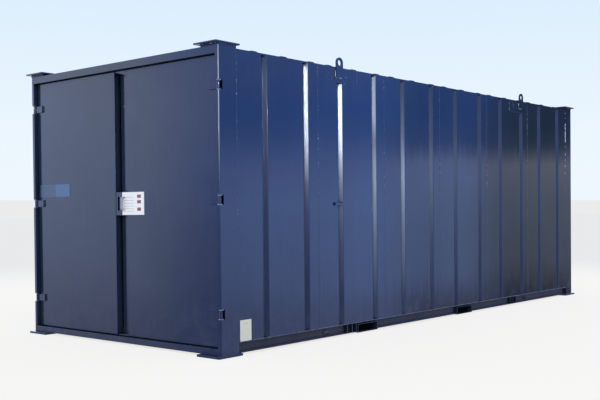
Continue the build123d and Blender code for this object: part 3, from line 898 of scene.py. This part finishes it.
seamLook = {
    "seed": 5,
    "firstJoint": 0.226,      # from the front of the cabin to the first edge of a wall panel
    "panel": 1.095,
    "panels": 6,
    "joint": {"width": 0.007, "height": 0.0016, "step": 0.009},
    "spots": {"longest": 0.05, "gap": 0.06, "width": 0.008, "height": 0.0024},
    "spotsRise": 1.4,         # thicker spots on the joints, from this far above the foot of the wall
    "spotsLift": 0.0012,
    "frontEdge": {"width": 0.006, "height": 0.0010, "step": 0.010},
}


def wallSeams(side, look):
    beads = Beads("wall_seams_" + sideName(side), "cabin", look["seed"] + side)
    out = (side, 0, 0)
    x = side * wallFace
    raised = side * (wallFace + look["spotsLift"])
    for joint in range(1, look["panels"]):
        y = front + look["firstJoint"] + joint * look["panel"]
        beads.lay((x, y, wallLow.z), (x, y, wallHigh.z), out, **look["joint"])
        low = wallLow.z + look["spotsRise"]
        beads.stitch((raised, y, low), (raised, y, wallHigh.z), out, **look["spots"])
    beads.lay((x, wallLow.y, wallLow.z), (x, wallLow.y, wallHigh.z), out, **look["frontEdge"])
    beads.place()


# Dusty bead along the top of a side bottom rail

railSeamLook = {"seed": 25, "bead": {"width": 0.012, "height": 0.0040, "step": 0.014}}


def railSeam(side, look):
    beads = Beads("rail_seam_" + sideName(side), "cabin", look["seed"] + side, dustyWeld)
    x = side * wallFace
    beads.lay((x, wallLow.y, wallLow.z), (x, wallHigh.y, wallLow.z), (side, 0, 1), **look["bead"])
    beads.place()


# Broken pale bead beside a rear post

postSeamLook = {
    "seed": 15,
    "stretches": (            # from the foot up: rise, top, longest bead, gap between beads, width
        (0.0, 1.55, 0.16, 0.10, 0.008),
        (1.55, 2.02, 0.06, 0.05, 0.013),
        (2.04, 2.32, 0.30, 0.01, 0.016),
        (2.36, 2.50, 0.03, 0.05, 0.012),
    ),
    "heightShare": 0.25,
}


def rearPostSeam(side, look):
    beads = Beads("rear_post_seam_" + sideName(side), "cabin", look["seed"] + side, paleWeld)
    x, y, foot = side * wallFace, wallHigh.y, wallLow.z
    for rise, top, longest, gap, width in look["stretches"]:
        beads.stitch((x, y, foot + rise), (x, y, foot + top), (side, 0, 0), longest=longest, gap=gap,
                     width=width, height=look["heightShare"] * width)
    beads.place()


# Joints of the rear wall: at both posts and in the middle

rearSeamLook = {"seed": 21, "bead": {"width": 0.007, "height": 0.0016, "step": 0.009}}


def rearSeams(look):
    beads = Beads("rear_wall_seams", "cabin", look["seed"])
    low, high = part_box("rear_wall")
    for x in (low.x, 0, high.x):
        beads.lay((x, rear, low.z), (x, rear, high.z), (0, 1, 0), **look["bead"])
    beads.place()


# Roof: joints between the sheets, and thin trapezoids that close the ribs at the edges

roofLook = {
    "seed": 31,
    "firstRib": 0.436,
    "ribs": (0.0, 0.395, 0.790),
    "panel": 1.061,
    "sheets": 6,
    "jointOffset": 0.926,     # from the first rib of a sheet to the joint with the next one
    "flatDrop": 0.007,
    "halfSpan": 1.36,
    "joint": {"width": 0.009, "height": 0.002, "step": 0.012},
    "thickness": 0.002,
    "baseHalf": 0.054,
    "crownHalf": 0.032,
}


def roofSeams(look):
    beads = Beads("roof_seams", "cabin", look["seed"])
    span = look["halfSpan"]
    top = roofHigh.z - look["flatDrop"]
    for joint in range(look["sheets"]):
        y = front + look["firstRib"] + look["jointOffset"] + joint * look["panel"]
        beads.lay((-span, y, top), (span, y, top), (0, 0, 1), **look["joint"])
    beads.place()


def ribEnds(look):
    shape = bmesh.new()
    base, crown, thickness = look["baseHalf"], look["crownHalf"], look["thickness"]
    flat = roofLow.z
    top = roofHigh.z - thickness
    for sheet in range(look["sheets"] + 1):
        for rib in look["ribs"]:
            y = front + look["firstRib"] + sheet * look["panel"] + rib
            if y + base > roofHigh.y:
                continue
            outline = [(y - base, flat), (y + base, flat), (y + crown, top), (y - crown, top)]
            for side in (-1, 1):
                joinRings(shape, [
                    [shape.verts.new((side * (roofHigh.x - depth), along, up)) for along, up in outline]
                    for depth in (thickness, 2 * thickness)])
    addPiece("roof_rib_ends", shape, navyFrame, "cabin")


# Narrow closing strips between the walls and the edges of the roof, over the tops of the grooves

stripLook = {"seed": 77, "sections": 64, "thickness": 0.003, "sway": 0.0006}


def edgeStrips(look):
    shape = bmesh.new()
    chance = random.Random(look["seed"])
    for side in (-1, 1):
        rings = []
        for index in range(look["sections"] + 1):
            y = wallLow.y + (wallHigh.y - wallLow.y) * index / look["sections"]
            outer = wallFace - chance.uniform(0, look["sway"])
            inner = outer - look["thickness"]
            corners = ((outer, wallHigh.z), (outer, roofLow.z), (inner, roofLow.z), (inner, wallHigh.z))
            rings.append([shape.verts.new((side * x, y, z)) for x, z in corners])
        joinRings(shape, rings)
    addPiece("roof_edge_strips", shape, navyWall, "cabin")


# Beads where the posts meet the plates above and below them

cornerLook = {
    "seed": 41,
    "bead": {"width": 0.009, "height": 0.0045},
    "basePlate": 0.020,
    "postDepth": 0.217,
    "neck": 0.212,
    "frontFlange": 0.040,
    "rearFlange": 0.140,
}


def cornerWelds(look):
    beads = Beads("corner_plate_welds", "cabin", look["seed"])
    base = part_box("base_plates")[0].z + look["basePlate"]
    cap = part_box("top_plates")[0].z
    for side in (-1, 1):
        x = side * wallFace
        neck = side * (wallFace - look["neck"])
        for y, inward, flange in ((front, 1, look["frontFlange"]), (rear, -1, look["rearFlange"])):
            deep = y + inward * look["postDepth"]
            foot = side * (wallFace - flange)
            beads.lay((x, y, base), (x, deep, base), (side, 0, 1), **look["bead"])
            beads.lay((x, y, cap), (x, deep, cap), (side, 0, -1), **look["bead"])
            beads.lay((x, y, cap), (neck, y, cap), (0, -inward, -1), **look["bead"])
            beads.lay((x, y, base), (foot, y, base), (0, -inward, 1), **look["bead"])
    beads.place()


# Lifting eyes: beads around each eye's own plate, with a short one beside it further in

eyeLook = {
    "seed": 51,
    "bead": {"width": 0.010, "height": 0.0042},
    "middle": 0.068,          # from the outer edge of the bracket to the middle of the plate
    "half": 0.052,
    "thickness": 0.006,
    "footRise": 0.050,
    "sideSpan": (0.004, 0.072),
    "mark": {"width": 0.011, "height": 0.004},
    "markTop": 0.055,
    "frontMark": 0.112,       # from the middle of the plate to the short bead
    "rearMark": 0.203,
}


def eyeWelds(side, look):
    beads = Beads("eye_welds_" + sideName(side), "cabin", look["seed"] + side, paleWeld)
    half = look["half"]
    x = side * (wallFace + look["thickness"])
    for end, inward, mark in (("front", 1, look["frontMark"]), ("rear", -1, look["rearMark"])):
        low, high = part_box("lifting_eye_" + end + "_" + sideName(side))
        middle = low.y + look["middle"] if inward > 0 else high.y - look["middle"]
        foot = low.z + look["footRise"]
        start, stop = look["sideSpan"]
        for turn in (-1, 1):
            y = middle + turn * half
            beads.lay((x, y, foot + start), (x, y, foot + stop), (side, turn, 0), **look["bead"])
        beads.lay((x, middle - half, foot), (x, middle + half, foot), (side, 0, -1), **look["bead"])
        y = middle + inward * mark
        beads.lay((x, y, foot), (x, y, foot + look["markTop"]), (side, 0, 0), **look["mark"])
    beads.place()


# Beads around the brackets that carry the eyes

bracketLook = {
    "seed": 61,
    "rise": 0.145,
    "side": {"width": 0.007, "height": 0.003},
    "foot": {"width": 0.006, "height": 0.0025},
}


def bracketWelds(side, look):
    beads = Beads("bracket_welds_" + sideName(side), "cabin", look["seed"] + side)
    x = side * wallFace
    for end in ("front", "rear"):
        low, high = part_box("lifting_eye_" + end + "_" + sideName(side))
        for y, turn in ((low.y, -1), (high.y, 1)):
            beads.lay((x, y, low.z), (x, y, low.z + look["rise"]), (side, turn, 0), **look["side"])
        beads.lay((x, low.y, low.z), (x, high.y, low.z), (side, 0, -1), **look["foot"])
    beads.place()


# Beads around the ends of the hinge straps, on the door leaves

strapLook = {
    "seed": 61,
    "bead": {"width": 0.006, "height": 0.0032},
    "levels": (0.370, 1.340, 2.310),
    "half": 0.033,
    "setback": 0.023,         # from the side of the cabin in to the hinge pins
    "inner": 0.124,           # both ends of a weld, from the pins
    "outer": 0.052,
}


def strapWelds(side, look):
    beads = Beads("strap_welds_" + sideName(side), "door_" + sideName(side), look["seed"] + side)
    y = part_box("door_right_skin")[0].y
    pin = wallFace - look["setback"]
    inner = side * (pin - look["inner"])
    outer = side * (pin - look["outer"])
    for level in look["levels"]:
        low, high = level - look["half"], level + look["half"]
        for z, turn in ((low, -1), (high, 1)):
            beads.lay((inner, y, z), (outer, y, z), (0, -1, turn), **look["bead"])
        beads.lay((inner, y, low), (inner, y, high), (-side, -1, 0), **look["bead"])
    beads.place()


for side in (1, -1):
    wallSeams(side, seamLook)
    railSeam(side, railSeamLook)
    rearPostSeam(side, postSeamLook)
rearSeams(rearSeamLook)
roofSeams(roofLook)
ribEnds(roofLook)
edgeStrips(stripLook)
cornerWelds(cornerLook)
for side in (1, -1):
    eyeWelds(side, eyeLook)
    bracketWelds(side, bracketLook)
for side in (1, -1):
    strapWelds(side, strapLook)
print("welds laid, ribs and roof edges closed")


# Small fixings: rivets in the certificate plate and screws in the floor

rivetLook = {"inset": 0.009, "radius": 0.0032, "height": 0.0016, "rings": 3, "sides": 14}
screwLook = {"inset": 0.06, "radius": 0.0045, "height": 0.0006, "rings": 2, "sides": 10,
             "rows": 13, "columns": 9}


def spread(low, high, inset, count):
    # Evenly spaced places between two edges
    return [low + inset + k / (count - 1) * (high - low - 2 * inset) for k in range(count)]


def domes(name, spots, out, look, finish):
    shape = bmesh.new()
    out = Vector(out)
    across = out.orthogonal().normalized()
    other = out.cross(across)
    turns = [2 * math.pi * k / look["sides"] for k in range(look["sides"])]
    around = [across * math.cos(turn) + other * math.sin(turn) for turn in turns]
    for spot in spots:
        rings = []
        for ring in range(look["rings"]):
            angle = math.pi / 2 * ring / look["rings"]
            reach = look["radius"] * math.cos(angle)
            rise = out * (look["height"] * math.sin(angle))
            rings.append([shape.verts.new(Vector(spot) + way * reach + rise) for way in around])
        rings.append([shape.verts.new(Vector(spot) + out * look["height"])])
        joinRings(shape, rings)
    addPiece(name, shape, finish, "cabin", smooth=True)


plateLow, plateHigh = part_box("certificate_plate")
rivetSpots = [(plateHigh.x, y, z)
              for y in spread(plateLow.y, plateHigh.y, rivetLook["inset"], 2)
              for z in spread(plateLow.z, plateHigh.z, rivetLook["inset"], 2)]
domes("certificate_rivets", rivetSpots, (1, 0, 0), rivetLook, zinc)

boardLow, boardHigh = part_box("floor_board")
screwSpots = [(x, y, boardHigh.z)
              for y in spread(boardLow.y, boardHigh.y, screwLook["inset"], screwLook["rows"])
              for x in spread(boardLow.x, boardHigh.x, screwLook["inset"], screwLook["columns"])]
domes("floor_screws", screwSpots, (0, 0, 1), screwLook, steel)
print("rivets and screws set")
